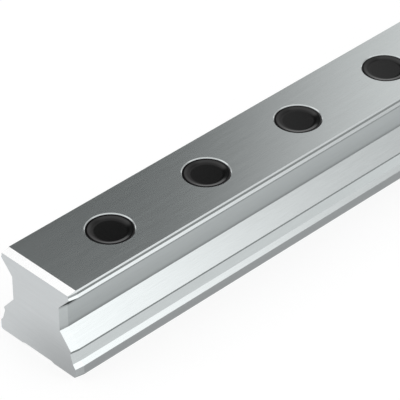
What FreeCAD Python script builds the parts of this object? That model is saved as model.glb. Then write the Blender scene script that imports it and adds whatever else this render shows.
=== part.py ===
import FreeCAD, Part
import math
import os

# Linear guide rail for a roller carriage, with plugged screw holes.
# Sizes in mm. X runs along the rail, Y across it and Z up from the base.

# Holes along the rail; the length follows from them
hole_count = 7
hole_pitch = 40.0
end_distance = 30.0

# Whole section
rail_height = 30.8
foot_width = 34.0

# Head, from the top face down to the neck
head_width = 30.0
head_edge_break = 0.4
head_side_height = 0.9
head_flare = 0.46
head_flare_height = 0.84
upper_raceway_height = 5.2

# Neck between the two raceways
neck_width = 21.4

# Foot, from the base up to the neck
foot_side_height = 4.0
foot_edge_radius = 1.3
ledge_width = 1.1
ledge_height = 1.5
wall_lean = 0.95
wall_height = 3.05
lip_overhang = 0.45
lip_height = 1.15
lower_raceway_height = 5.5

# Shallow relief along the middle of the base
relief_width = 14.0
relief_depth = 0.4
relief_slope = 1.2

# Bevel round each end of the rail
end_bevel_length = 3.0
end_bevel_depth = 0.5

# Screw holes for socket head screws
screw_hole_diameter = 9.0
counterbore_diameter = 15.0
counterbore_depth = 12.0
counterbore_edge_break = 0.3
hole_foot_edge_break = 0.5

# Plugs, pressed in so that they touch the counterbore all round
plug_press_clearance = 0.0
plug_recess = 0.3
plug_height = 3.2
plug_roof = 1.2
plug_skirt = 1.3
plug_rim_width = 0.65
plug_dish_slope_width = 1.4
plug_dish_depth = 0.22
plug_foot_edge_break = 0.5

# Sizes that follow from the ones above
rail_length = (hole_count - 1) * hole_pitch + 2 * end_distance
half_length = rail_length / 2
bevel_start = half_length - end_bevel_length


def half_section():
    """Corners of the section on one side, from the top edge down to the base, each with its corner radius."""
    head = head_width / 2
    neck = neck_width / 2
    foot = foot_width / 2
    wall_foot = foot - ledge_width
    wall_top = wall_foot - wall_lean
    lip = wall_top + lip_overhang
    side_top = rail_height - head_edge_break
    side_foot = side_top - head_side_height
    flare_foot = side_foot - head_flare_height
    neck_top = flare_foot - upper_raceway_height
    wall_foot_level = foot_side_height + ledge_height
    wall_top_level = wall_foot_level + wall_height
    lip_level = wall_top_level + lip_height
    neck_foot = lip_level + lower_raceway_height
    return [
        (head - head_edge_break, rail_height, 0.0),
        (head, side_top, 0.0),
        (head, side_foot, 0.0),
        (head + head_flare, flare_foot, 0.0),
        (neck, neck_top, 0.0),
        (neck, neck_foot, 0.0),
        (lip, lip_level, 0.0),
        (wall_top, wall_top_level, 0.0),
        (wall_foot, wall_foot_level, 0.0),
        (foot, foot_side_height, 0.0),
        (foot, 0.0, foot_edge_radius),
        (relief_width / 2, 0.0, 0.0),
        (relief_width / 2 - relief_slope, relief_depth, 0.0),
    ]


def whole_section():
    """Corners round the whole section: down one side and up the other."""
    one_side = half_section()
    other_side = [(-y, z, radius) for y, z, radius in reversed(one_side)]
    return one_side + other_side


def unit(a, b):
    """Direction from one corner to the next."""
    length = math.hypot(b[0] - a[0], b[1] - a[1])
    return (b[0] - a[0]) / length, (b[1] - a[1]) / length


def inset(corners, depth):
    """The section drawn in by the same depth along every side, with its corners mitred."""
    moved = []
    for index, corner in enumerate(corners):
        before = unit(corners[index - 1], corner)
        after = unit(corner, corners[(index + 1) % len(corners)])
        inward_before = (before[1], -before[0])
        inward_after = (after[1], -after[0])
        share = 1 + inward_before[0] * inward_after[0] + inward_before[1] * inward_after[1]
        step_y = depth * (inward_before[0] + inward_after[0]) / share
        step_z = depth * (inward_before[1] + inward_after[1]) / share
        radius = max(corner[2] - depth, 0.05) if corner[2] else 0.0
        moved.append((corner[0] + step_y, corner[1] + step_z, radius))
    return moved


def outline(corners, x):
    """Points round the section at one place along the rail: a list of (start, middle, end) with the middle for arcs."""
    pieces = []
    for index, corner in enumerate(corners):
        y, z, radius = corner
        if radius == 0.0:
            point = FreeCAD.Vector(x, y, z)
            pieces.append((point, None, point))
            continue
        before = unit(corners[index - 1], corner)
        after = unit(corner, corners[(index + 1) % len(corners)])
        turn = math.acos(before[0] * after[0] + before[1] * after[1])
        reach = radius * math.tan(turn / 2)
        start = (y - before[0] * reach, z - before[1] * reach)
        end = (y + after[0] * reach, z + after[1] * reach)
        towards = (after[0] - before[0], after[1] - before[1])
        size = math.hypot(*towards)
        gap = radius / math.cos(turn / 2) - radius
        middle = (y + towards[0] / size * gap, z + towards[1] / size * gap)
        pieces.append(tuple(FreeCAD.Vector(x, *place) for place in (start, middle, end)))
    return pieces


def section_wire(pieces):
    """A closed wire through the points of one outline."""
    edges = []
    for index, (start, middle, end) in enumerate(pieces):
        if middle is not None:
            edges.append(Part.Arc(start, middle, end).toShape())
        following = pieces[(index + 1) % len(pieces)][0]
        edges.append(Part.makeLine(end, following))
    return Part.Wire(edges)


def faces_between(first, second):
    """Faces that join two outlines: flat strips between the straight sides and curved ones between the arcs."""
    faces = []
    for index, (start, middle, end) in enumerate(first):
        far_start, far_middle, far_end = second[index]
        if middle is not None:
            near_arc = Part.Arc(start, middle, end).toShape()
            far_arc = Part.Arc(far_start, far_middle, far_end).toShape()
            faces.append(Part.makeRuledSurface(near_arc, far_arc))
        following = first[(index + 1) % len(first)][0]
        far_following = second[(index + 1) % len(second)][0]
        strip = Part.makePolygon([end, following, far_following, far_end, end])
        faces.append(Part.Face(strip))
    return faces


def plain_rail():
    """The rail without its holes: the section along its length, drawn in at both ends by the bevel."""
    section = whole_section()
    end_section = inset(section, end_bevel_depth)
    stations = [
        outline(end_section, -half_length),
        outline(section, -bevel_start),
        outline(section, bevel_start),
        outline(end_section, half_length),
    ]
    faces = [Part.Face(section_wire(stations[0]))]
    for first, second in zip(stations, stations[1:]):
        faces += faces_between(first, second)
    faces.append(Part.Face(section_wire(stations[-1])))
    shell = Part.makeShell(faces)
    shell.sewShape()
    body = Part.makeSolid(shell)
    if body.Volume < 0:
        body.reverse()
    return body


def lines(profile):
    """Straight edges through (radius, height) points of a half section."""
    points = [FreeCAD.Vector(radius, 0, height) for radius, height in profile]
    return [Part.makeLine(start, end) for start, end in zip(points, points[1:])]


def hollow_curve(outer, inner):
    """Hollow arc from an upper outer point of a half section to a lower inner one, level at the inner one."""
    width = outer[0] - inner[0]
    depth = outer[1] - inner[1]
    radius = (width ** 2 + depth ** 2) / (2 * depth)
    half_turn = math.atan2(depth, width)
    middle = (inner[0] + radius * math.sin(half_turn), inner[1] + radius * (1 - math.cos(half_turn)))
    points = [FreeCAD.Vector(place[0], 0, place[1]) for place in (outer, middle, inner)]
    return Part.Arc(*points).toShape()


def turned(edges):
    """A solid turned about Z from the closed outline of its half section."""
    face = Part.Face(Part.Wire(edges))
    return face.revolve(FreeCAD.Vector(0, 0, 0), FreeCAD.Vector(0, 0, 1), 360)


def hole_cutter():
    """Counterbored hole with broken edges at the top face and at the base, as a solid to cut away."""
    past = 1.0
    bore = screw_hole_diameter / 2
    seat = counterbore_diameter / 2
    seat_level = rail_height - counterbore_depth
    return turned(lines([
        (0, relief_depth - past),
        (bore + hole_foot_edge_break + past, relief_depth - past),
        (bore, relief_depth + hole_foot_edge_break),
        (bore, seat_level),
        (seat, seat_level),
        (seat, rail_height - counterbore_edge_break),
        (seat + counterbore_edge_break + past, rail_height + past),
        (0, rail_height + past),
        (0, relief_depth - past),
    ]))


def plug():
    """Dished cap with a flat rim and an open underside, standing at its height in the rail."""
    outer = counterbore_diameter / 2 - plug_press_clearance
    top = rail_height - plug_recess
    foot = top - plug_height
    dish_floor = top - plug_dish_depth
    roof_under = dish_floor - plug_roof
    rim = (outer - plug_rim_width, top)
    dish = (rim[0] - plug_dish_slope_width, dish_floor)
    outside = lines([
        (0, dish_floor),
        (0, roof_under),
        (outer - plug_skirt, roof_under),
        (outer - plug_skirt, foot),
        (outer - plug_foot_edge_break, foot),
        (outer, foot + plug_foot_edge_break),
        (outer, top),
        rim,
    ])
    return turned(outside + [hollow_curve(rim, dish)] + lines([dish, (0, dish_floor)]))


def hole_positions():
    """Places of the holes along the rail, the same distance from both ends."""
    first = -half_length + end_distance
    return [FreeCAD.Vector(first + number * hole_pitch, 0, 0) for number in range(hole_count)]


def placed(shape, position):
    """A copy of a shape moved to a hole."""
    copy = shape.copy()
    copy.translate(position)
    return copy


def main():
    os.makedirs("parts", exist_ok=True)
    cutter = hole_cutter()
    rail = plain_rail().cut([placed(cutter, position) for position in hole_positions()])
    rail.exportStep("parts/rail.step")
    cap = plug()
    for number, position in enumerate(hole_positions(), start=1):
        placed(cap, position).exportStep(f"parts/hole_plug_{number}.step")


main()
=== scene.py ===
import math

import bmesh
import bpy
from bpy.props import FloatProperty, FloatVectorProperty, IntProperty, PointerProperty
from bpy.types import NodeSocket, Operator, Panel, PropertyGroup
from mathutils import Euler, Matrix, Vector


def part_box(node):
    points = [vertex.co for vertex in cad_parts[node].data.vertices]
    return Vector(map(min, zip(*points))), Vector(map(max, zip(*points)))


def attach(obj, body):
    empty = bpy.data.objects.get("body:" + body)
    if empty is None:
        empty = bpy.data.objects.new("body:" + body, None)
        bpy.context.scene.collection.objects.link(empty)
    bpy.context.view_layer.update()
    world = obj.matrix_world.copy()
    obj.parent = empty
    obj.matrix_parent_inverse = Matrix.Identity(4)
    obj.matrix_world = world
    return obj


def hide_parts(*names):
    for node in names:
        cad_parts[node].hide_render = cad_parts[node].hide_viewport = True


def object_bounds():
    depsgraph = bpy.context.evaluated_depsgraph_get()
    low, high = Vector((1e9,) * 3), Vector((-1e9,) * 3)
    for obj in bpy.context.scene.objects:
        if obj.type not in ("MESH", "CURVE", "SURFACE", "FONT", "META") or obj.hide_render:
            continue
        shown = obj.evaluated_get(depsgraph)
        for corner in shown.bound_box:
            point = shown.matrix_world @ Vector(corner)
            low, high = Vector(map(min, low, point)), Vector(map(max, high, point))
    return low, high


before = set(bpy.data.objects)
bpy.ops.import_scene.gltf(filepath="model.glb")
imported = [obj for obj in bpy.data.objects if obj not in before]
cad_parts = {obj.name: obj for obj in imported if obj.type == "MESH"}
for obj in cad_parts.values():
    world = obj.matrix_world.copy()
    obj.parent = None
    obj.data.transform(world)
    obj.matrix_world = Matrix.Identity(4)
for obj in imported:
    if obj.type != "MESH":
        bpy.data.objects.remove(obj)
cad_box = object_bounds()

# Linear guide rail: ground steel finish, moulded hole plugs and a soft studio, in metres.

bl_info = {
    "name": "Linear Guide Rail",
    "version": (1, 0, 0),
    "blender": (4, 5, 0),
    "location": "View3D > Sidebar > Guide Rail",
    "description": "Finishes a linear guide rail, models its hole plugs and sets up a soft studio",
    "category": "Object",
}

RAIL_NODE = "rail"
PLUG_NODES = sorted(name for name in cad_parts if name.startswith("hole_plug"))
MM = 0.001

# Slants that tell the rail's faces apart, as limits for one part of a face's normal
UPRIGHT = 0.97
UPRIGHT_FOOT_SIDE = 0.94
STEEP_WALL = 0.92
STEEP_LIP = 0.88
SLIGHT_LEAN = 0.1
LIP_OVERHANG = -0.2
HEAD_OVERHANG = -0.5
FACING_DOWN = -0.9
FACING_END = 0.9
ALMOST_LEVEL = 0.95
OFF_LEVEL = 0.9
LEVEL_RISE = (0.990, 0.998)
CUT_RISE = (0.90, 0.97)

# Slack for edges that the bevels at the ends move, for other edges and for the turned edge of a hole
BEVEL_SLACK = 0.5 * MM
EDGE_SLACK = 0.02 * MM
HOLE_EDGE_SLACK = 0.6 * MM

# Grinding marks: how they are drawn out, and a shift that keeps flat faces off streaks in the noise
LENGTHWISE = (0.05, 1.0, 1.0)
CROSSWISE = (1.0, 0.03, 1.0)
MARK_SHIFT = (0.13 * MM, 0.13 * MM, 0.16 * MM)

# Noise of the marks: fine noise with some broad noise mixed in
FINE_NOISE = {"Detail": 3.0, "Roughness": 0.65}
BROAD_NOISE = {"Detail": 2.0, "Roughness": 0.5}
BROAD_FINENESS = 0.17
BROAD_IN_HEIGHT = 0.3
BROAD_IN_TONE = 0.25
NOISE_MIDDLE = 0.5

# Sockets of a Mix node that mixes colours
MIX_SHARE, MIX_FIRST, MIX_SECOND = 0, 6, 7
MIX_RESULT = 2

# Modelling of the plugs: how their edges are rounded and smoothed, and how level a flat face is
EDGE_SEGMENTS = 4
FILLET_SEGMENTS = 8
ROUND_PROFILE = 0.5
SMOOTH_ANGLE = math.radians(40)
LEVEL_FACE = 0.99

# Soft lights on the dome, in degrees: azimuth, elevation, radius of the full light, radius of its end
RIGHT_LIGHT = (20, 33, 20, 50)
WINDOW_LIGHT = (37, 40, 6, 14)
LOW_LIGHT = (57, 11, 3, 12)
BACK_LIGHT = (136, 34, 10, 26)
OVERHEAD_LIGHT = (58, 60, 13.5, 19)

# Level soft edges on the dome, in degrees: the elevations where each starts and is full
CEILING_FOOT = (25, 46)
FRONT_TOP = (44, 32)
DARK_WALL_FOOT = (12, 18)
DARK_WALL_TOP = (46, 39)
BACKDROP_TOP = (6.89, 2.01)

# Upright soft edges on the dome, in degrees: an azimuth and the angles from it where each starts and is full
FRONT_SIDES = (-90, 36.87, 25.84)
FRONT_END = (-160, 65.17, 75.52)
DARK_WALL_RIGHT = (-40, 79.92, 86.85)
DARK_WALL_LEFT = (46, 40, 24)
DARK_CORNER = (-40, 86.56, 91.15)

# How far the front light's sides slant, and how much higher the backdrop stands at one azimuth
FRONT_SLANT = 0.15
BACKDROP_AZIMUTH = 46
BACKDROP_RISE = 0.085

WHITE = (1.0, 1.0, 1.0)

# Width of the camera's sensor in millimetres
SENSOR_WIDTH = 36.0


def centre_of(node):
    """Middle of a solid's box."""
    low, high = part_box(node)
    return (Vector(low) + Vector(high)) / 2


plug_low, plug_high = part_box(PLUG_NODES[0])
plug_centres = [centre_of(node) for node in PLUG_NODES]
hole_pitch = plug_centres[1].x - plug_centres[0].x
counterbore_radius = (plug_high[0] - plug_low[0]) / 2


# Sizes and colours that a user would change

class GuideRailSteel(PropertyGroup):
    """Finish of the rail"""
    polished_colour: FloatVectorProperty(
        name="Polished Steel", description="Colour of the raceways and the other slanted faces",
        subtype='COLOR', size=3, min=0, max=1, default=(0.761, 0.80, 0.804))
    ground_colour: FloatVectorProperty(
        name="Ground Steel", description="Colour of the top face and the base",
        subtype='COLOR', size=3, min=0, max=1, default=(0.551, 0.58, 0.58))
    wall_colour: FloatVectorProperty(
        name="Foot Walls", description="Colour of the steep walls below the raceways",
        subtype='COLOR', size=3, min=0, max=1, default=(0.561, 0.596, 0.599))
    # The upright drawn faces are one steel painted in different tones as shade: the neck darker towards its
    # foot, the foot sides darker, the narrow head sides darkest.
    neck_colour: FloatVectorProperty(
        name="Neck", description="Colour of the top of the neck, which is left as drawn",
        subtype='COLOR', size=3, min=0, max=1, default=(0.429, 0.457, 0.461))
    relief_and_shaded_neck_foot_colour: FloatVectorProperty(
        name="Foot Of The Neck", description="Colour of the foot of the neck and of the relief in the base",
        subtype='COLOR', size=3, min=0, max=1, default=(0.352, 0.375, 0.378))
    shaded_foot_side_colour: FloatVectorProperty(
        name="Foot Sides", description="Colour of the upright sides of the foot",
        subtype='COLOR', size=3, min=0, max=1, default=(0.309, 0.324, 0.328))
    shaded_head_side_colour: FloatVectorProperty(
        name="Head Sides", description="Colour of the narrow upright sides of the head",
        subtype='COLOR', size=3, min=0, max=1, default=(0.229, 0.245, 0.245))
    # Painted shade: the overhanging lips and the corners at the top and foot of the neck are darkened in
    # colour as shade.
    lip_and_neck_shade_colour: FloatVectorProperty(
        name="Lip And Neck Shade", description="Colour of the lips and the edges of the neck, where oil gathers",
        subtype='COLOR', size=3, min=0, max=1, default=(0.234, 0.25, 0.25))
    # Painted shade: the bevels under the ends of the head are painted near black and made non-metal, as
    # shade.
    head_bevel_shade_colour: FloatVectorProperty(
        name="Head Bevel Shade", description="Colour of the dull oil under the bevelled ends of the head",
        subtype='COLOR', size=3, min=0, max=1, default=(0.06, 0.065, 0.065))
    # Painted shade along the edges of the neck: how strong it is and how far it reaches up and down.
    neck_shade_share: FloatProperty(
        name="Neck Edge Shade", description="How strongly oil darkens the edges of the neck",
        subtype='FACTOR', min=0, max=1, default=1.0)
    low_neck_shade_height: FloatProperty(
        name="Neck Shade Height", description="How far the oil reaches up from the foot of the neck",
        unit='LENGTH', default=1.5 * MM)
    high_neck_shade_drop: FloatProperty(
        name="Neck Shade Drop", description="How far the oil reaches down from the top of the neck",
        unit='LENGTH', default=0.7 * MM)
    bevel_colour: FloatVectorProperty(
        name="Top Bevel", description="Colour of the bevel across the top and the base at the ends",
        subtype='COLOR', size=3, min=0, max=1, default=(0.785, 0.787, 0.785))
    bevel_polish: FloatProperty(
        name="Bevel Polish", description="How far the bevel on the upright sides is polished bright",
        subtype='FACTOR', min=0, max=1, default=0.2)
    cut_colour: FloatVectorProperty(
        name="Cut Steel", description="Colour of the cut ends",
        subtype='COLOR', size=3, min=0, max=1, default=(0.578, 0.60, 0.609))
    turned_colour: FloatVectorProperty(
        name="Turned Steel", description="Colour of the turned edges and walls of the holes",
        subtype='COLOR', size=3, min=0, max=1, default=(0.60, 0.63, 0.63))
    # Painted shade: the cut ends darken towards one lower corner; these three settings set its strength and
    # spread.
    cut_end_shade_share: FloatProperty(
        name="Cut End Shade", description="How far the cut ends darken at the corner where the cut ended",
        subtype='FACTOR', min=0, max=1, default=0.36)
    cut_end_shade_reach: FloatProperty(
        name="Cut End Shade Reach", description="How far the burn spreads from that corner along the base",
        unit='LENGTH', default=35 * MM)
    cut_end_shade_flatness: FloatProperty(
        name="Cut End Shade Flatness", description="How many times further the burn spreads sideways than upwards",
        min=0.1, default=1.5)
    polished_roughness: FloatProperty(
        name="Polished Roughness", description="Roughness of the raceways and the other slanted faces",
        subtype='FACTOR', min=0, max=1, default=0.14)
    ground_roughness: FloatProperty(
        name="Ground Roughness", description="Roughness of the top face and the base",
        subtype='FACTOR', min=0, max=1, default=0.15)
    drawn_roughness: FloatProperty(
        name="Drawn Roughness", description="Roughness of the neck, the foot sides and the relief",
        subtype='FACTOR', min=0, max=1, default=0.30)
    cut_roughness: FloatProperty(
        name="Cut Roughness", description="Roughness of the cut ends",
        subtype='FACTOR', min=0, max=1, default=0.32)
    mark_spacing: FloatProperty(
        name="Mark Spacing", description="Distance between the grinding marks",
        unit='LENGTH', min=0.00005, default=0.35 * MM)
    mark_height: FloatProperty(
        name="Mark Height", description="Height of the grinding marks",
        unit='LENGTH', min=0, default=0.0006 * MM)
    mark_tone: FloatProperty(
        name="Mark Tone", description="How far the grinding marks vary the colour",
        subtype='FACTOR', min=0, max=1, default=0.2)
    mark_gloss: FloatProperty(
        name="Mark Gloss", description="How far the grinding marks vary the roughness",
        subtype='FACTOR', min=0, max=1, default=0.03)
    foot_side_height: FloatProperty(
        name="Foot Side Height", description="Height of the upright sides of the foot above the base",
        unit='LENGTH', default=4.0 * MM)
    neck_foot: FloatProperty(
        name="Neck Foot", description="Height of the lower edge of the neck above the base",
        unit='LENGTH', default=15.2 * MM)
    neck_top: FloatProperty(
        name="Neck Top", description="Height of the upper edge of the neck above the base",
        unit='LENGTH', default=23.46 * MM)
    relief_width: FloatProperty(
        name="Relief Width", description="Width of the shallow relief along the base, left as drawn",
        unit='LENGTH', default=14.0 * MM)


class GuideRailPlug(PropertyGroup):
    """Shape and finish of the hole plugs"""
    colour: FloatVectorProperty(
        name="Colour", description="Colour of the moulded plastic",
        subtype='COLOR', size=3, min=0, max=1, default=(0.001, 0.001, 0.001))
    specular: FloatProperty(
        name="Specular", description="Strength of the plain plastic's gloss",
        subtype='FACTOR', min=0, max=1, default=0.17)
    roughness: FloatProperty(
        name="Roughness", description="Roughness of the moulded plastic",
        subtype='FACTOR', min=0, max=1, default=0.13)
    dish_roughness: FloatProperty(
        name="Dish Roughness", description="Roughness of the floor of the dish",
        subtype='FACTOR', min=0, max=1, default=0.20)
    slope_gloss: FloatProperty(
        name="Slope Gloss", description="How far the slope round the dish is polished",
        subtype='FACTOR', min=0, max=1, default=0.43)
    grain_spacing: FloatProperty(
        name="Grain Spacing", description="Distance between the grains that the mould leaves",
        unit='LENGTH', min=0.00005, default=0.25 * MM)
    grain_height: FloatProperty(
        name="Grain Height", description="Height of the grains",
        unit='LENGTH', min=0, default=0.001 * MM)
    grain_tone: FloatProperty(
        name="Grain Tone", description="How far the grains vary the colour",
        subtype='FACTOR', min=0, max=1, default=0.2)
    grain_gloss: FloatProperty(
        name="Grain Gloss", description="How far the grains vary the roughness",
        subtype='FACTOR', min=0, max=1, default=0.12)
    sides: IntProperty(
        name="Sides", description="Number of flat sides round the plug",
        min=24, max=256, default=96)
    rim_width: FloatProperty(
        name="Rim Width", description="Width of the flat rim",
        unit='LENGTH', default=0.75 * MM)
    slope_width: FloatProperty(
        name="Slope Width", description="Width of the slope from the rim down to the dish",
        unit='LENGTH', default=1.5 * MM)
    dish_depth: FloatProperty(
        name="Dish Depth", description="Depth of the dish below the rim",
        unit='LENGTH', default=0.43 * MM)
    roof: FloatProperty(
        name="Roof", description="Thickness of the plug under the dish",
        unit='LENGTH', default=1.2 * MM)
    skirt: FloatProperty(
        name="Skirt", description="Thickness of the skirt round the open underside",
        unit='LENGTH', default=1.3 * MM)
    foot_edge: FloatProperty(
        name="Foot Edge", description="Lead-in bevel at the foot of the skirt",
        unit='LENGTH', default=0.5 * MM)
    rim_edge: FloatProperty(
        name="Rim Edge", description="Rounding of the outer edge of the rim",
        unit='LENGTH', default=0.08 * MM)
    dish_edge: FloatProperty(
        name="Dish Edge", description="Rounding of the upper edge of the slope",
        unit='LENGTH', default=0.08 * MM)
    dish_fillet: FloatProperty(
        name="Dish Fillet", description="Rounding at the foot of the slope",
        unit='LENGTH', default=0.45 * MM)


class GuideRailStage(PropertyGroup):
    """Floor, light and camera"""
    floor_size: FloatProperty(
        name="Floor Size", description="Width of the floor",
        unit='LENGTH', default=24.0)
    floor_colour: FloatVectorProperty(
        name="Floor Colour", description="Colour of the floor",
        subtype='COLOR', size=3, min=0, max=1, default=(0.97, 0.97, 0.97))
    floor_glow: FloatProperty(
        name="Floor Glow", description="Plain white of the floor as it is seen, free of shadow",
        subtype='FACTOR', min=0, max=1, default=0.78)
    floor_shading: FloatProperty(
        name="Floor Shading", description="Share of the light on the floor that is seen, with its shadow",
        subtype='FACTOR', min=0, max=1, default=0.28)
    wall_level: FloatProperty(
        name="Walls", description="Brightness of the studio's walls",
        min=0, default=0.57)
    ceiling_level: FloatProperty(
        name="Ceiling", description="Brightness of the studio's ceiling",
        min=0, default=0.95)
    right_level: FloatProperty(
        name="Right Light", description="Brightness of the broad soft light on the right",
        min=0, default=0.72)
    window_level: FloatProperty(
        name="Window", description="Brightness of the small soft light behind on the right",
        min=0, default=1.15)
    low_level: FloatProperty(
        name="Low Light", description="Brightness of the low soft light behind",
        min=0, default=1.05)
    front_level: FloatProperty(
        name="Front Light", description="Brightness of the soft light in front",
        min=0, default=1.31)
    back_level: FloatProperty(
        name="Back Light", description="Brightness of the soft light behind on the left",
        min=0, default=1.15)
    overhead_level: FloatProperty(
        name="Overhead Light", description="Brightness of the soft light overhead",
        min=0, default=1.31)
    dark_colour: FloatVectorProperty(
        name="Dark Wall", description="Colour of the dark wall that the top face mirrors",
        subtype='COLOR', size=3, min=0, max=1, default=(0.168, 0.175, 0.175))
    corner_share: FloatProperty(
        name="Dark Corner", description="Brightness of the dark wall's left end, as a share of its right",
        subtype='FACTOR', min=0, max=1, default=0.85)
    camera_target: FloatVectorProperty(
        name="Camera Target", description="Point that the camera looks at",
        subtype='XYZ', unit='LENGTH', size=3, default=(-0.0912, -0.0087, 0.0308))
    camera_distance: FloatProperty(
        name="Camera Distance", description="Distance from the camera to its target",
        unit='LENGTH', default=0.8626)
    camera_azimuth: FloatProperty(
        name="Camera Azimuth", description="Direction of the camera round the rail, from +X",
        subtype='ANGLE', default=math.radians(-134.07))
    camera_elevation: FloatProperty(
        name="Camera Elevation", description="Height of the camera above the horizon",
        subtype='ANGLE', default=math.radians(36.94))
    camera_roll: FloatProperty(
        name="Camera Roll", description="Turn of the camera about its own axis",
        subtype='ANGLE', default=math.radians(-0.43))
    camera_lens: FloatProperty(
        name="Camera Lens", description="Focal length in millimetres on a 36 mm sensor",
        default=258.8)


# Nodes

def add_node(tree, kind, options=None, inputs=None):
    """Add a node, set its options, and give its inputs values or links from other nodes."""
    node = tree.nodes.new(kind)
    for option, value in (options or {}).items():
        setattr(node, option, value)
    for socket, value in (inputs or {}).items():
        if isinstance(value, NodeSocket):
            tree.links.new(value, node.inputs[socket])
        else:
            node.inputs[socket].default_value = value
    return node


def connect(tree, shader, links):
    """Link values to a shader's inputs by their names."""
    for name, value in links.items():
        tree.links.new(value, shader.inputs[name])


def maths(tree, operation, *values):
    """Result of a Math node."""
    node = add_node(tree, "ShaderNodeMath", {"operation": operation}, dict(enumerate(values)))
    return node.outputs[0]


def vector_maths(tree, operation, output, *vectors):
    """One output of a Vector Math node."""
    node = add_node(tree, "ShaderNodeVectorMath", {"operation": operation}, dict(enumerate(vectors)))
    return node.outputs[output]


def smooth_step(tree, value, low, high):
    """Smooth change from 0 at the first limit to 1 at the second, whichever is larger."""
    inputs = {"Value": value, "From Min": low, "From Max": high}
    node = add_node(tree, "ShaderNodeMapRange", {"interpolation_type": 'SMOOTHSTEP'}, inputs)
    return node.outputs["Result"]


def above(tree, value, limit):
    """Mask that is 1 where a value is over a limit."""
    return maths(tree, 'GREATER_THAN', value, limit)


def below(tree, value, limit):
    """Mask that is 1 where a value is under a limit."""
    return maths(tree, 'LESS_THAN', value, limit)


def all_of(tree, first, *others):
    """Mask that is 1 only where all of these are."""
    for other in others:
        first = maths(tree, 'MULTIPLY', first, other)
    return first


def any_of(tree, first, *others):
    """Mask that is 1 where at least one of these is."""
    for other in others:
        first = maths(tree, 'MAXIMUM', first, other)
    return first


def blend(tree, share, first, second):
    """Mix of two numbers."""
    inputs = {"Factor": share, "A": first, "B": second}
    return add_node(tree, "ShaderNodeMix", {"data_type": 'FLOAT'}, inputs).outputs["Result"]


def link_or_colour(value):
    """A link as it is, or a plain colour with its alpha."""
    return value if isinstance(value, NodeSocket) else (*value, 1.0)


def blend_colour(tree, share, first, second, blend_type='MIX'):
    """Mix of two colours."""
    inputs = {MIX_SHARE: share, MIX_FIRST: link_or_colour(first), MIX_SECOND: link_or_colour(second)}
    node = add_node(tree, "ShaderNodeMix", {"data_type": 'RGBA', "blend_type": blend_type}, inputs)
    return node.outputs[MIX_RESULT]


def shaded_colour(tree, colour, shade):
    """A colour times a brightness."""
    return blend_colour(tree, 1.0, colour, shade, 'MULTIPLY')


def split(tree, vector):
    """The three parts of a vector."""
    return add_node(tree, "ShaderNodeSeparateXYZ", inputs={"Vector": vector}).outputs


def joined(tree, **parts):
    """A vector from its parts; those not given are 0."""
    return add_node(tree, "ShaderNodeCombineXYZ", inputs=parts).outputs[0]


def length(tree, first, second):
    """Length of a flat vector from its two parts."""
    return vector_maths(tree, 'LENGTH', "Value", joined(tree, X=first, Y=second))


def hole_radius(tree, place):
    """Distance from the axis of the nearest hole. The holes stand at whole spacings from the middle."""
    parts = split(tree, place)
    return length(tree, maths(tree, 'PINGPONG', parts["X"], hole_pitch / 2), parts["Y"])


def stretched(tree, vector, scale):
    """Coordinates scaled by different amounts along X, Y and Z, and shifted for the marks."""
    inputs = {"Vector": vector, "Scale": scale, "Location": MARK_SHIFT}
    return add_node(tree, "ShaderNodeMapping", inputs=inputs).outputs["Vector"]


def surface_marks_group():
    """Shared effect: fine uneven marks, as a height for bump and a tone about 0 for colour and gloss."""
    name = "surface_marks"
    if name in bpy.data.node_groups:
        return bpy.data.node_groups[name]
    tree = bpy.data.node_groups.new(name, "ShaderNodeTree")
    tree.interface.new_socket("Vector", in_out='INPUT', socket_type='NodeSocketVector')
    tree.interface.new_socket("Fineness", in_out='INPUT', socket_type='NodeSocketFloat')
    tree.interface.new_socket("Height", in_out='OUTPUT', socket_type='NodeSocketFloat')
    tree.interface.new_socket("Tone", in_out='OUTPUT', socket_type='NodeSocketFloat')
    given = tree.nodes.new("NodeGroupInput").outputs

    def noise(fineness, settings):
        """Noise at a fineness."""
        inputs = {"Vector": given["Vector"], "Scale": fineness, **settings}
        return add_node(tree, "ShaderNodeTexNoise", inputs=inputs).outputs[0]

    fine = noise(given["Fineness"], FINE_NOISE)
    broad = noise(maths(tree, 'MULTIPLY', given["Fineness"], BROAD_FINENESS), BROAD_NOISE)
    height = blend(tree, BROAD_IN_HEIGHT, fine, broad)
    tone = maths(tree, 'SUBTRACT', blend(tree, BROAD_IN_TONE, fine, broad), NOISE_MIDDLE)
    taken = tree.nodes.new("NodeGroupOutput")
    connect(tree, taken, {"Height": height, "Tone": tone})
    return tree


def surface_marks(tree, vector, spacing):
    """The shared marks, placed in a material."""
    inputs = {"Vector": vector, "Fineness": 1.0 / spacing}
    return add_node(tree, "ShaderNodeGroup", {"node_tree": surface_marks_group()}, inputs).outputs


def marked_colour(tree, colour, tone, strength):
    """A colour that the marks make lighter and darker."""
    return shaded_colour(tree, colour, maths(tree, 'MULTIPLY_ADD', tone, strength, 1.0))


def marked_roughness(tree, roughness, tone, strength):
    """A roughness that the marks raise and lower."""
    return maths(tree, 'MULTIPLY_ADD', tone, strength, roughness)


def marked_normal(tree, height, distance):
    """Normal of a surface with the marks on it."""
    inputs = {"Height": height, "Distance": distance, "Strength": 1.0}
    return add_node(tree, "ShaderNodeBump", inputs=inputs).outputs[0]


def new_material(name):
    """An empty node material with its Principled shader."""
    material = bpy.data.materials.new(name)
    material.use_nodes = True
    return material, material.node_tree, material.node_tree.nodes["Principled BSDF"]


# Materials

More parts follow.
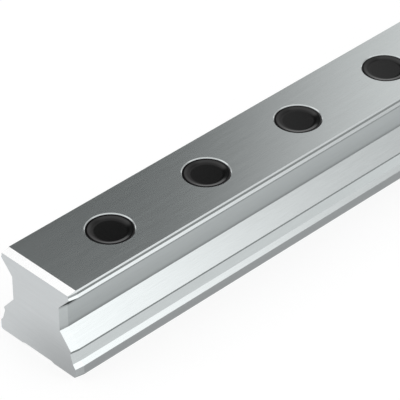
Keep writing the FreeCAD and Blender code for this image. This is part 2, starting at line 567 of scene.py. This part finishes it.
def steel_finishes(tree, steel, place, normal):
    """Where each finish and each painted shade lies on the rail: masks from the place and the slant of its
    faces.
    """
    parts = split(tree, place)
    y, z = parts["Y"], parts["Z"]
    normal_x, normal_y, normal_z = split(tree, normal)
    endways = maths(tree, 'ABSOLUTE', normal_x)
    sideways = maths(tree, 'ABSOLUTE', normal_y)
    upwards = maths(tree, 'ABSOLUTE', normal_z)
    radius = hole_radius(tree, place)
    on_head = above(tree, z, steel.neck_top + BEVEL_SLACK)
    on_neck = above(tree, z, steel.neck_foot - BEVEL_SLACK)
    on_foot = below(tree, z, steel.foot_side_height + EDGE_SLACK)
    in_relief = below(tree, maths(tree, 'ABSOLUTE', y), steel.relief_width / 2 + EDGE_SLACK)
    in_hole = below(tree, radius, counterbore_radius + HOLE_EDGE_SLACK)
    bevel = all_of(tree, above(tree, endways, SLIGHT_LEAN), below(tree, endways, FACING_END))
    upright_bevel = all_of(tree, bevel, below(tree, upwards, SLIGHT_LEAN))
    # Painted shade in the corners of the neck, above the raceways and under the head.
    low_neck_shade = smooth_step(tree, z, steel.neck_foot + steel.low_neck_shade_height, steel.neck_foot)
    high_neck_shade = smooth_step(tree, z, steel.neck_top - steel.high_neck_shade_drop, steel.neck_top)
    above_neck_foot = maths(tree, 'SUBTRACT', z, steel.neck_foot)
    from_side = maths(tree, 'SUBTRACT', y, cad_box[0].y)
    # Painted shade on the cut ends: distance from one lower corner, stretched upwards.
    from_corner = length(tree, from_side, maths(tree, 'MULTIPLY', z, steel.cut_end_shade_flatness))
    return {
        "level": smooth_step(tree, upwards, *LEVEL_RISE),
        "wall": all_of(tree, above(tree, sideways, STEEP_WALL), above(tree, normal_z, SLIGHT_LEAN)),
        "neck": all_of(tree, above(tree, sideways, UPRIGHT), on_neck),
        # Painted shade: the neck darkens from its top down to its foot.
        "neck_shade_rise": maths(tree, 'DIVIDE', above_neck_foot, steel.neck_top - steel.neck_foot),
        "neck_edge_shade": maths(tree, 'MULTIPLY', any_of(tree, low_neck_shade, high_neck_shade), steel.neck_shade_share),
        "relief": all_of(tree, in_relief, below(tree, normal_z, FACING_DOWN), on_foot),
        "foot_side": all_of(
            tree, above(tree, sideways, UPRIGHT_FOOT_SIDE), below(tree, normal_z, SLIGHT_LEAN), on_foot),
        "head_side": all_of(tree, above(tree, sideways, UPRIGHT), on_head),
        # Painted shade: the overhanging lips take the dark shade colour.
        "lip": all_of(
            tree, above(tree, sideways, STEEP_LIP), below(tree, normal_z, LIP_OVERHANG),
            below(tree, z, steel.neck_foot)),
        "side_bevel": maths(tree, 'MULTIPLY', upright_bevel, steel.bevel_polish),
        "top_bevel": all_of(tree, bevel, above(tree, upwards, ALMOST_LEVEL)),
        # Painted shade under the head's bevels.
        "head_bevel": all_of(tree, bevel, below(tree, normal_z, HEAD_OVERHANG), on_head),
        "turned": all_of(tree, in_hole, below(tree, upwards, OFF_LEVEL)),
        "ring": joined(tree, X=radius, Z=z),
        "cut": smooth_step(tree, endways, *CUT_RISE),
        # Painted shade: the cut ends darken towards that corner.
        "cut_end_shading": smooth_step(tree, from_corner, steel.cut_end_shade_reach, 0.0),
    }


def steel_marks(tree, steel, place, finish):
    """Height and tone of the marks: along the rail, across its cut ends and round its holes."""
    lengthwise = surface_marks(tree, stretched(tree, place, LENGTHWISE), steel.mark_spacing)
    crosswise = surface_marks(tree, stretched(tree, place, CROSSWISE), steel.mark_spacing)
    circular = surface_marks(tree, finish["ring"], steel.mark_spacing)
    marks = []
    for name in ("Height", "Tone"):
        straight = blend(tree, finish["cut"], lengthwise[name], crosswise[name])
        marks.append(blend(tree, finish["turned"], straight, circular[name]))
    return marks


def steel_colour(tree, steel, finish):
    """Colour of the rail without its marks: one finish or painted shade laid over another."""
    # Painted shade on the neck: darker towards its foot.
    neck = blend_colour(tree, finish["neck_shade_rise"], steel.relief_and_shaded_neck_foot_colour, steel.neck_colour)
    # Painted shade along the top and the foot of the neck.
    neck = blend_colour(tree, finish["neck_edge_shade"], neck, steel.lip_and_neck_shade_colour)
    # Painted shade on the cut ends.
    cut_end_unshaded = maths(tree, 'SUBTRACT', 1.0, maths(tree, 'MULTIPLY', finish["cut_end_shading"], steel.cut_end_shade_share))
    layers = (
        ("level", steel.ground_colour),
        ("wall", steel.wall_colour),
        ("neck", neck),
        ("relief", steel.relief_and_shaded_neck_foot_colour),
        # Painted shade: the foot sides and the head sides get darker tones of the drawn steel.
        ("foot_side", steel.shaded_foot_side_colour),
        ("head_side", steel.shaded_head_side_colour),
        # Painted shade on the lips.
        ("lip", steel.lip_and_neck_shade_colour),
        ("side_bevel", steel.polished_colour),
        ("top_bevel", steel.bevel_colour),
        # Painted shade under the head's bevels.
        ("head_bevel", steel.head_bevel_shade_colour),
        ("turned", steel.turned_colour),
        ("cut", shaded_colour(tree, steel.cut_colour, cut_end_unshaded)),
    )
    colour = steel.polished_colour
    for mask, layer in layers:
        colour = blend_colour(tree, finish[mask], colour, layer)
    return colour


def steel_material(steel):
    """Rail steel: polished raceways, lengthwise grinding marks, satin drawn sides and cut ends."""
    material, tree, shader = new_material("ground_steel")
    coordinates = add_node(tree, "ShaderNodeTexCoord").outputs
    place = coordinates["Object"]
    finish = steel_finishes(tree, steel, place, coordinates["Normal"])
    height, tone = steel_marks(tree, steel, place, finish)
    drawn = any_of(tree, finish["neck"], finish["foot_side"], finish["relief"])
    roughness = blend(tree, finish["level"], steel.polished_roughness, steel.ground_roughness)
    roughness = blend(tree, drawn, roughness, steel.drawn_roughness)
    roughness = blend(tree, finish["cut"], roughness, steel.cut_roughness)
    colour = steel_colour(tree, steel, finish)
    shader.inputs["Specular IOR Level"].default_value = 0.0
    connect(tree, shader, {
        "Base Color": marked_colour(tree, colour, tone, steel.mark_tone),
        "Roughness": marked_roughness(tree, roughness, tone, steel.mark_gloss),
        # The painted shade under the head's bevels is not metal, so that it stays dark.
        "Metallic": maths(tree, 'SUBTRACT', 1.0, finish["head_bevel"]),
        "Normal": marked_normal(tree, height, steel.mark_height),
    })
    return material


def plastic_material(plug):
    """Black moulded plastic with a faint spark-eroded grain."""
    material, tree, shader = new_material("black_plastic")
    place = add_node(tree, "ShaderNodeTexCoord").outputs["Object"]
    grain = surface_marks(tree, place, plug.grain_spacing)
    radius = hole_radius(tree, place)
    rim = counterbore_radius - plug.rim_width
    slope_foot = rim - plug.slope_width
    slope = smooth_step(tree, radius, slope_foot, rim - plug.dish_fillet)
    on_slope = all_of(tree, slope, below(tree, radius, rim))
    in_dish = below(tree, radius, slope_foot)
    roughness = blend(tree, in_dish, plug.roughness, plug.dish_roughness)
    shader.inputs["Specular IOR Level"].default_value = plug.specular
    shader.inputs["Coat Roughness"].default_value = plug.roughness
    connect(tree, shader, {
        "Base Color": marked_colour(tree, plug.colour, grain["Tone"], plug.grain_tone),
        "Roughness": marked_roughness(tree, roughness, grain["Tone"], plug.grain_gloss),
        "Coat Weight": maths(tree, 'MULTIPLY', on_slope, plug.slope_gloss),
        "Normal": marked_normal(tree, grain["Height"], plug.grain_height),
    })
    return material


def floor_material(stage):
    """Plain pale floor without gloss, part of which is white to the eye and in mirrors."""
    material, tree, shader = new_material("studio_floor")
    path = add_node(tree, "ShaderNodeLightPath").outputs
    seen = any_of(tree, path["Is Camera Ray"], path["Is Glossy Ray"], path["Is Transmission Ray"])
    shaded = [stage.floor_shading * part for part in stage.floor_colour]
    shader.inputs["Emission Color"].default_value = (*WHITE, 1.0)
    shader.inputs["Roughness"].default_value = 1.0
    shader.inputs["Specular IOR Level"].default_value = 0.0
    connect(tree, shader, {
        "Base Color": blend_colour(tree, seen, stage.floor_colour, shaded),
        "Emission Strength": maths(tree, 'MULTIPLY', seen, stage.floor_glow),
    })
    return material


# Mesh work

def deselect_all():
    """Leave nothing selected, so that the next operator acts on its own piece alone."""
    bpy.ops.object.select_all(action='DESELECT')


def select_parts(mesh_object, kind, test):
    """In edit mode, select only the faces or edges that pass a test."""
    bpy.ops.mesh.select_mode(type='FACE' if kind == "faces" else 'EDGE')
    bpy.ops.mesh.select_all(action='DESELECT')
    mesh = bmesh.from_edit_mesh(mesh_object.data)
    for part in getattr(mesh, kind):
        part.select_set(test(part))
    bmesh.update_edit_mesh(mesh_object.data)


def ring_at(radius, height):
    """Test for the edges of a ring of this radius at this height."""
    def test(edge):
        points = [vertex.co for vertex in edge.verts]
        on_radius = all(abs(math.hypot(point.x, point.y) - radius) < EDGE_SLACK for point in points)
        return on_radius and all(abs(point.z - height) < EDGE_SLACK for point in points)
    return test


def flat_face_at(height):
    """Test for a level face in the middle at this height."""
    def test(face):
        centre = face.calc_center_median()
        level = abs(face.normal.z) > LEVEL_FACE and abs(centre.z - height) < EDGE_SLACK
        return level and math.hypot(centre.x, centre.y) < EDGE_SLACK
    return test


def bevel_ring(piece, radius, height, width, segments):
    """Bevel the ring of edges of this radius at this height. Several segments round it."""
    select_parts(piece, "edges", ring_at(radius, height))
    bpy.ops.mesh.bevel(offset=width, segments=segments, profile=ROUND_PROFILE, affect='EDGES')


def model_plug(plug):
    """One plug on the Z axis, at its height in the rail: a dished cap with an open underside."""
    top, foot = plug_high[2], plug_low[2]
    outer = counterbore_radius
    rim = outer - plug.rim_width
    dish_floor = top - plug.dish_depth
    deselect_all()
    bpy.ops.mesh.primitive_cylinder_add(
        vertices=plug.sides, radius=outer, depth=top - foot, location=(0, 0, (top + foot) / 2))
    piece = bpy.context.object
    bpy.ops.object.transform_apply(location=True, rotation=True, scale=True)
    bpy.ops.object.mode_set(mode='EDIT')
    select_parts(piece, "faces", flat_face_at(top))
    bpy.ops.mesh.inset(thickness=plug.rim_width)
    bpy.ops.mesh.inset(thickness=plug.slope_width)
    bpy.ops.transform.translate(value=(0, 0, -plug.dish_depth))
    select_parts(piece, "faces", flat_face_at(foot))
    bpy.ops.mesh.inset(thickness=plug.skirt)
    bpy.ops.mesh.extrude_region_move(
        TRANSFORM_OT_translate={"value": (0, 0, dish_floor - plug.roof - foot)})
    bevel_ring(piece, outer, foot, plug.foot_edge, 1)
    bevel_ring(piece, outer, top, plug.rim_edge, EDGE_SEGMENTS)
    bevel_ring(piece, rim, top, plug.dish_edge, EDGE_SEGMENTS)
    bevel_ring(piece, rim - plug.slope_width, dish_floor, plug.dish_fillet, FILLET_SEGMENTS)
    bpy.ops.object.mode_set(mode='OBJECT')
    bpy.ops.object.shade_smooth_by_angle(angle=SMOOTH_ANGLE)
    return piece


def place_plugs(first, material):
    """Copy the plug to every hole, each with its own mesh, in place of the solid there."""
    first.data.materials.append(material)
    for name, centre in zip(PLUG_NODES, plug_centres):
        deselect_all()
        first.select_set(True)
        bpy.context.view_layer.objects.active = first
        bpy.ops.object.duplicate(linked=False)
        piece = bpy.context.object
        piece.name = name.replace("hole_plug", "plug_cap")
        piece.data.name = piece.name
        bpy.ops.transform.translate(value=(centre.x, centre.y, 0))
        bpy.ops.object.transform_apply(location=True, rotation=True, scale=True)
        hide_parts(name)
        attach(piece, "root")
    bpy.data.objects.remove(first, do_unlink=True)


# Studio

def sine(angle):
    """Sine of an angle in degrees."""
    return math.sin(math.radians(angle))


def cosine(angle):
    """Cosine of an angle in degrees."""
    return math.cos(math.radians(angle))


def direction(azimuth, elevation):
    """Unit vector towards a place on the studio dome, from angles in degrees."""
    across = cosine(elevation)
    return Vector((across * cosine(azimuth), across * sine(azimuth), sine(elevation)))


def studio_dome(stage):
    """World light: pale walls and ceiling with soft lights, a dark wall behind and a white backdrop."""
    world = bpy.data.worlds.new("studio_dome")
    world.use_nodes = True
    bpy.context.scene.world = world
    tree = world.node_tree
    towards = add_node(tree, "ShaderNodeTexCoord").outputs["Generated"]
    x, y, z = split(tree, towards)
    around = vector_maths(tree, 'NORMALIZE', "Vector", joined(tree, X=x, Y=y))

    def cosine_from(vector, azimuth, elevation=0):
        """Cosine of the angle between a vector and a place on the dome."""
        return vector_maths(tree, 'DOT_PRODUCT', "Value", vector, direction(azimuth, elevation))

    def near(azimuth, elevation, inner, outer):
        """Soft round patch about a place on the dome."""
        return smooth_step(tree, cosine_from(towards, azimuth, elevation), cosine(outer), cosine(inner))

    def turned_from(azimuth, first, last, slant=0.0):
        """Change from 0 at one angle round the dome from an azimuth to 1 at another."""
        facing = maths(tree, 'MULTIPLY_ADD', z, slant, cosine_from(around, azimuth))
        return smooth_step(tree, facing, cosine(first), cosine(last))

    def risen(first, last, height=z):
        """Change from 0 at one elevation to 1 at another."""
        return smooth_step(tree, height, sine(first), sine(last))

    front = all_of(tree, turned_from(*FRONT_SIDES, FRONT_SLANT), turned_from(*FRONT_END), risen(*FRONT_TOP))
    dark = all_of(
        tree, turned_from(*DARK_WALL_RIGHT), turned_from(*DARK_WALL_LEFT),
        risen(*DARK_WALL_FOOT), risen(*DARK_WALL_TOP))
    lowered = maths(tree, 'MULTIPLY_ADD', cosine_from(around, BACKDROP_AZIMUTH), -BACKDROP_RISE, z)
    backdrop = risen(*BACKDROP_TOP, lowered)

    light = blend(tree, risen(*CEILING_FOOT), stage.wall_level, stage.ceiling_level)
    light = blend(tree, near(*RIGHT_LIGHT), light, stage.right_level)
    light = blend(tree, near(*WINDOW_LIGHT), light, stage.window_level)
    light = blend(tree, front, light, stage.front_level)
    light = blend(tree, near(*BACK_LIGHT), light, stage.back_level)
    light = blend(tree, near(*OVERHEAD_LIGHT), light, stage.overhead_level)
    corner = blend(tree, turned_from(*DARK_CORNER), 1.0, stage.corner_share)
    colour = blend_colour(tree, dark, light, shaded_colour(tree, stage.dark_colour, corner))
    colour = blend_colour(tree, near(*LOW_LIGHT), colour, [stage.low_level] * 3)
    colour = blend_colour(tree, backdrop, colour, WHITE)
    connect(tree, tree.nodes["Background"], {"Color": colour})


def lay_floor(stage):
    """Floor under the rail's base."""
    deselect_all()
    bpy.ops.mesh.primitive_plane_add(size=stage.floor_size, location=(0, 0, cad_box[0].z))
    floor = bpy.context.object
    floor.name = "studio_floor"
    floor.data.materials.append(floor_material(stage))


def place_camera(stage):
    """Camera at the photograph's viewing angle."""
    towards = direction(math.degrees(stage.camera_azimuth), math.degrees(stage.camera_elevation))
    deselect_all()
    bpy.ops.object.camera_add(location=Vector(stage.camera_target) + towards * stage.camera_distance)
    camera = bpy.context.object
    camera.name = "camera"
    roll = Euler((0, 0, stage.camera_roll)).to_quaternion()
    camera.rotation_mode = 'QUATERNION'
    camera.rotation_quaternion = (-towards).to_track_quat('-Z', 'Y') @ roll
    camera.data.sensor_width = SENSOR_WIDTH
    camera.data.lens = stage.camera_lens
    bpy.context.scene.camera = camera


# Operators and panel

class GUIDERAIL_OT_finish_rail(Operator):
    """Give the rail its ground, drawn and cut steel"""
    bl_idname = "guiderail.finish_rail"
    bl_label = "Finish Rail"

    def execute(self, context):
        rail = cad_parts[RAIL_NODE]
        material = steel_material(context.scene.guiderail_steel)
        if not rail.material_slots:
            raise RuntimeError("the rail has no material slot")
        for slot in rail.material_slots:
            slot.material = material
        return {'FINISHED'}


class GUIDERAIL_OT_hole_plugs(Operator):
    """Model one moulded plug and place a copy in every screw hole"""
    bl_idname = "guiderail.hole_plugs"
    bl_label = "Hole Plugs"

    def execute(self, context):
        plug = context.scene.guiderail_plug
        place_plugs(model_plug(plug), plastic_material(plug))
        return {'FINISHED'}


class GUIDERAIL_OT_stage(Operator):
    """Lay the floor, build the soft light and place the camera"""
    bl_idname = "guiderail.stage"
    bl_label = "Studio"

    def execute(self, context):
        stage = context.scene.guiderail_stage
        lay_floor(stage)
        studio_dome(stage)
        place_camera(stage)
        context.scene.view_settings.view_transform = 'Standard'
        return {'FINISHED'}


class VIEW3D_PT_guide_rail(Panel):
    """Guide rail tools in the sidebar"""
    bl_idname = "VIEW3D_PT_guide_rail"
    bl_label = "Guide Rail"
    bl_space_type = 'VIEW_3D'
    bl_region_type = 'UI'
    bl_category = "Guide Rail"

    def draw(self, context):
        for operator, settings in TOOLS:
            box = self.layout.box()
            box.operator(operator.bl_idname)
            group = getattr(context.scene, settings)
            for name in group.__annotations__:
                box.prop(group, name)


TOOLS = (
    (GUIDERAIL_OT_finish_rail, "guiderail_steel"),
    (GUIDERAIL_OT_hole_plugs, "guiderail_plug"),
    (GUIDERAIL_OT_stage, "guiderail_stage"),
)
SETTINGS = {
    "guiderail_steel": GuideRailSteel,
    "guiderail_plug": GuideRailPlug,
    "guiderail_stage": GuideRailStage,
}
CLASSES = (*SETTINGS.values(), *(operator for operator, settings in TOOLS), VIEW3D_PT_guide_rail)


def register():
    """Register the classes and give every scene its settings."""
    for one_class in CLASSES:
        bpy.utils.register_class(one_class)
    for name, group in SETTINGS.items():
        setattr(bpy.types.Scene, name, PointerProperty(type=group))


def unregister():
    """Take away the settings and the classes again."""
    for name in SETTINGS:
        delattr(bpy.types.Scene, name)
    for one_class in reversed(CLASSES):
        bpy.utils.unregister_class(one_class)


def main():
    """Finish the rail, model the plugs and set up the studio."""
    register()
    bpy.ops.guiderail.finish_rail()
    bpy.ops.guiderail.hole_plugs()
    bpy.ops.guiderail.stage()


if __name__ == "__main__":
    main()
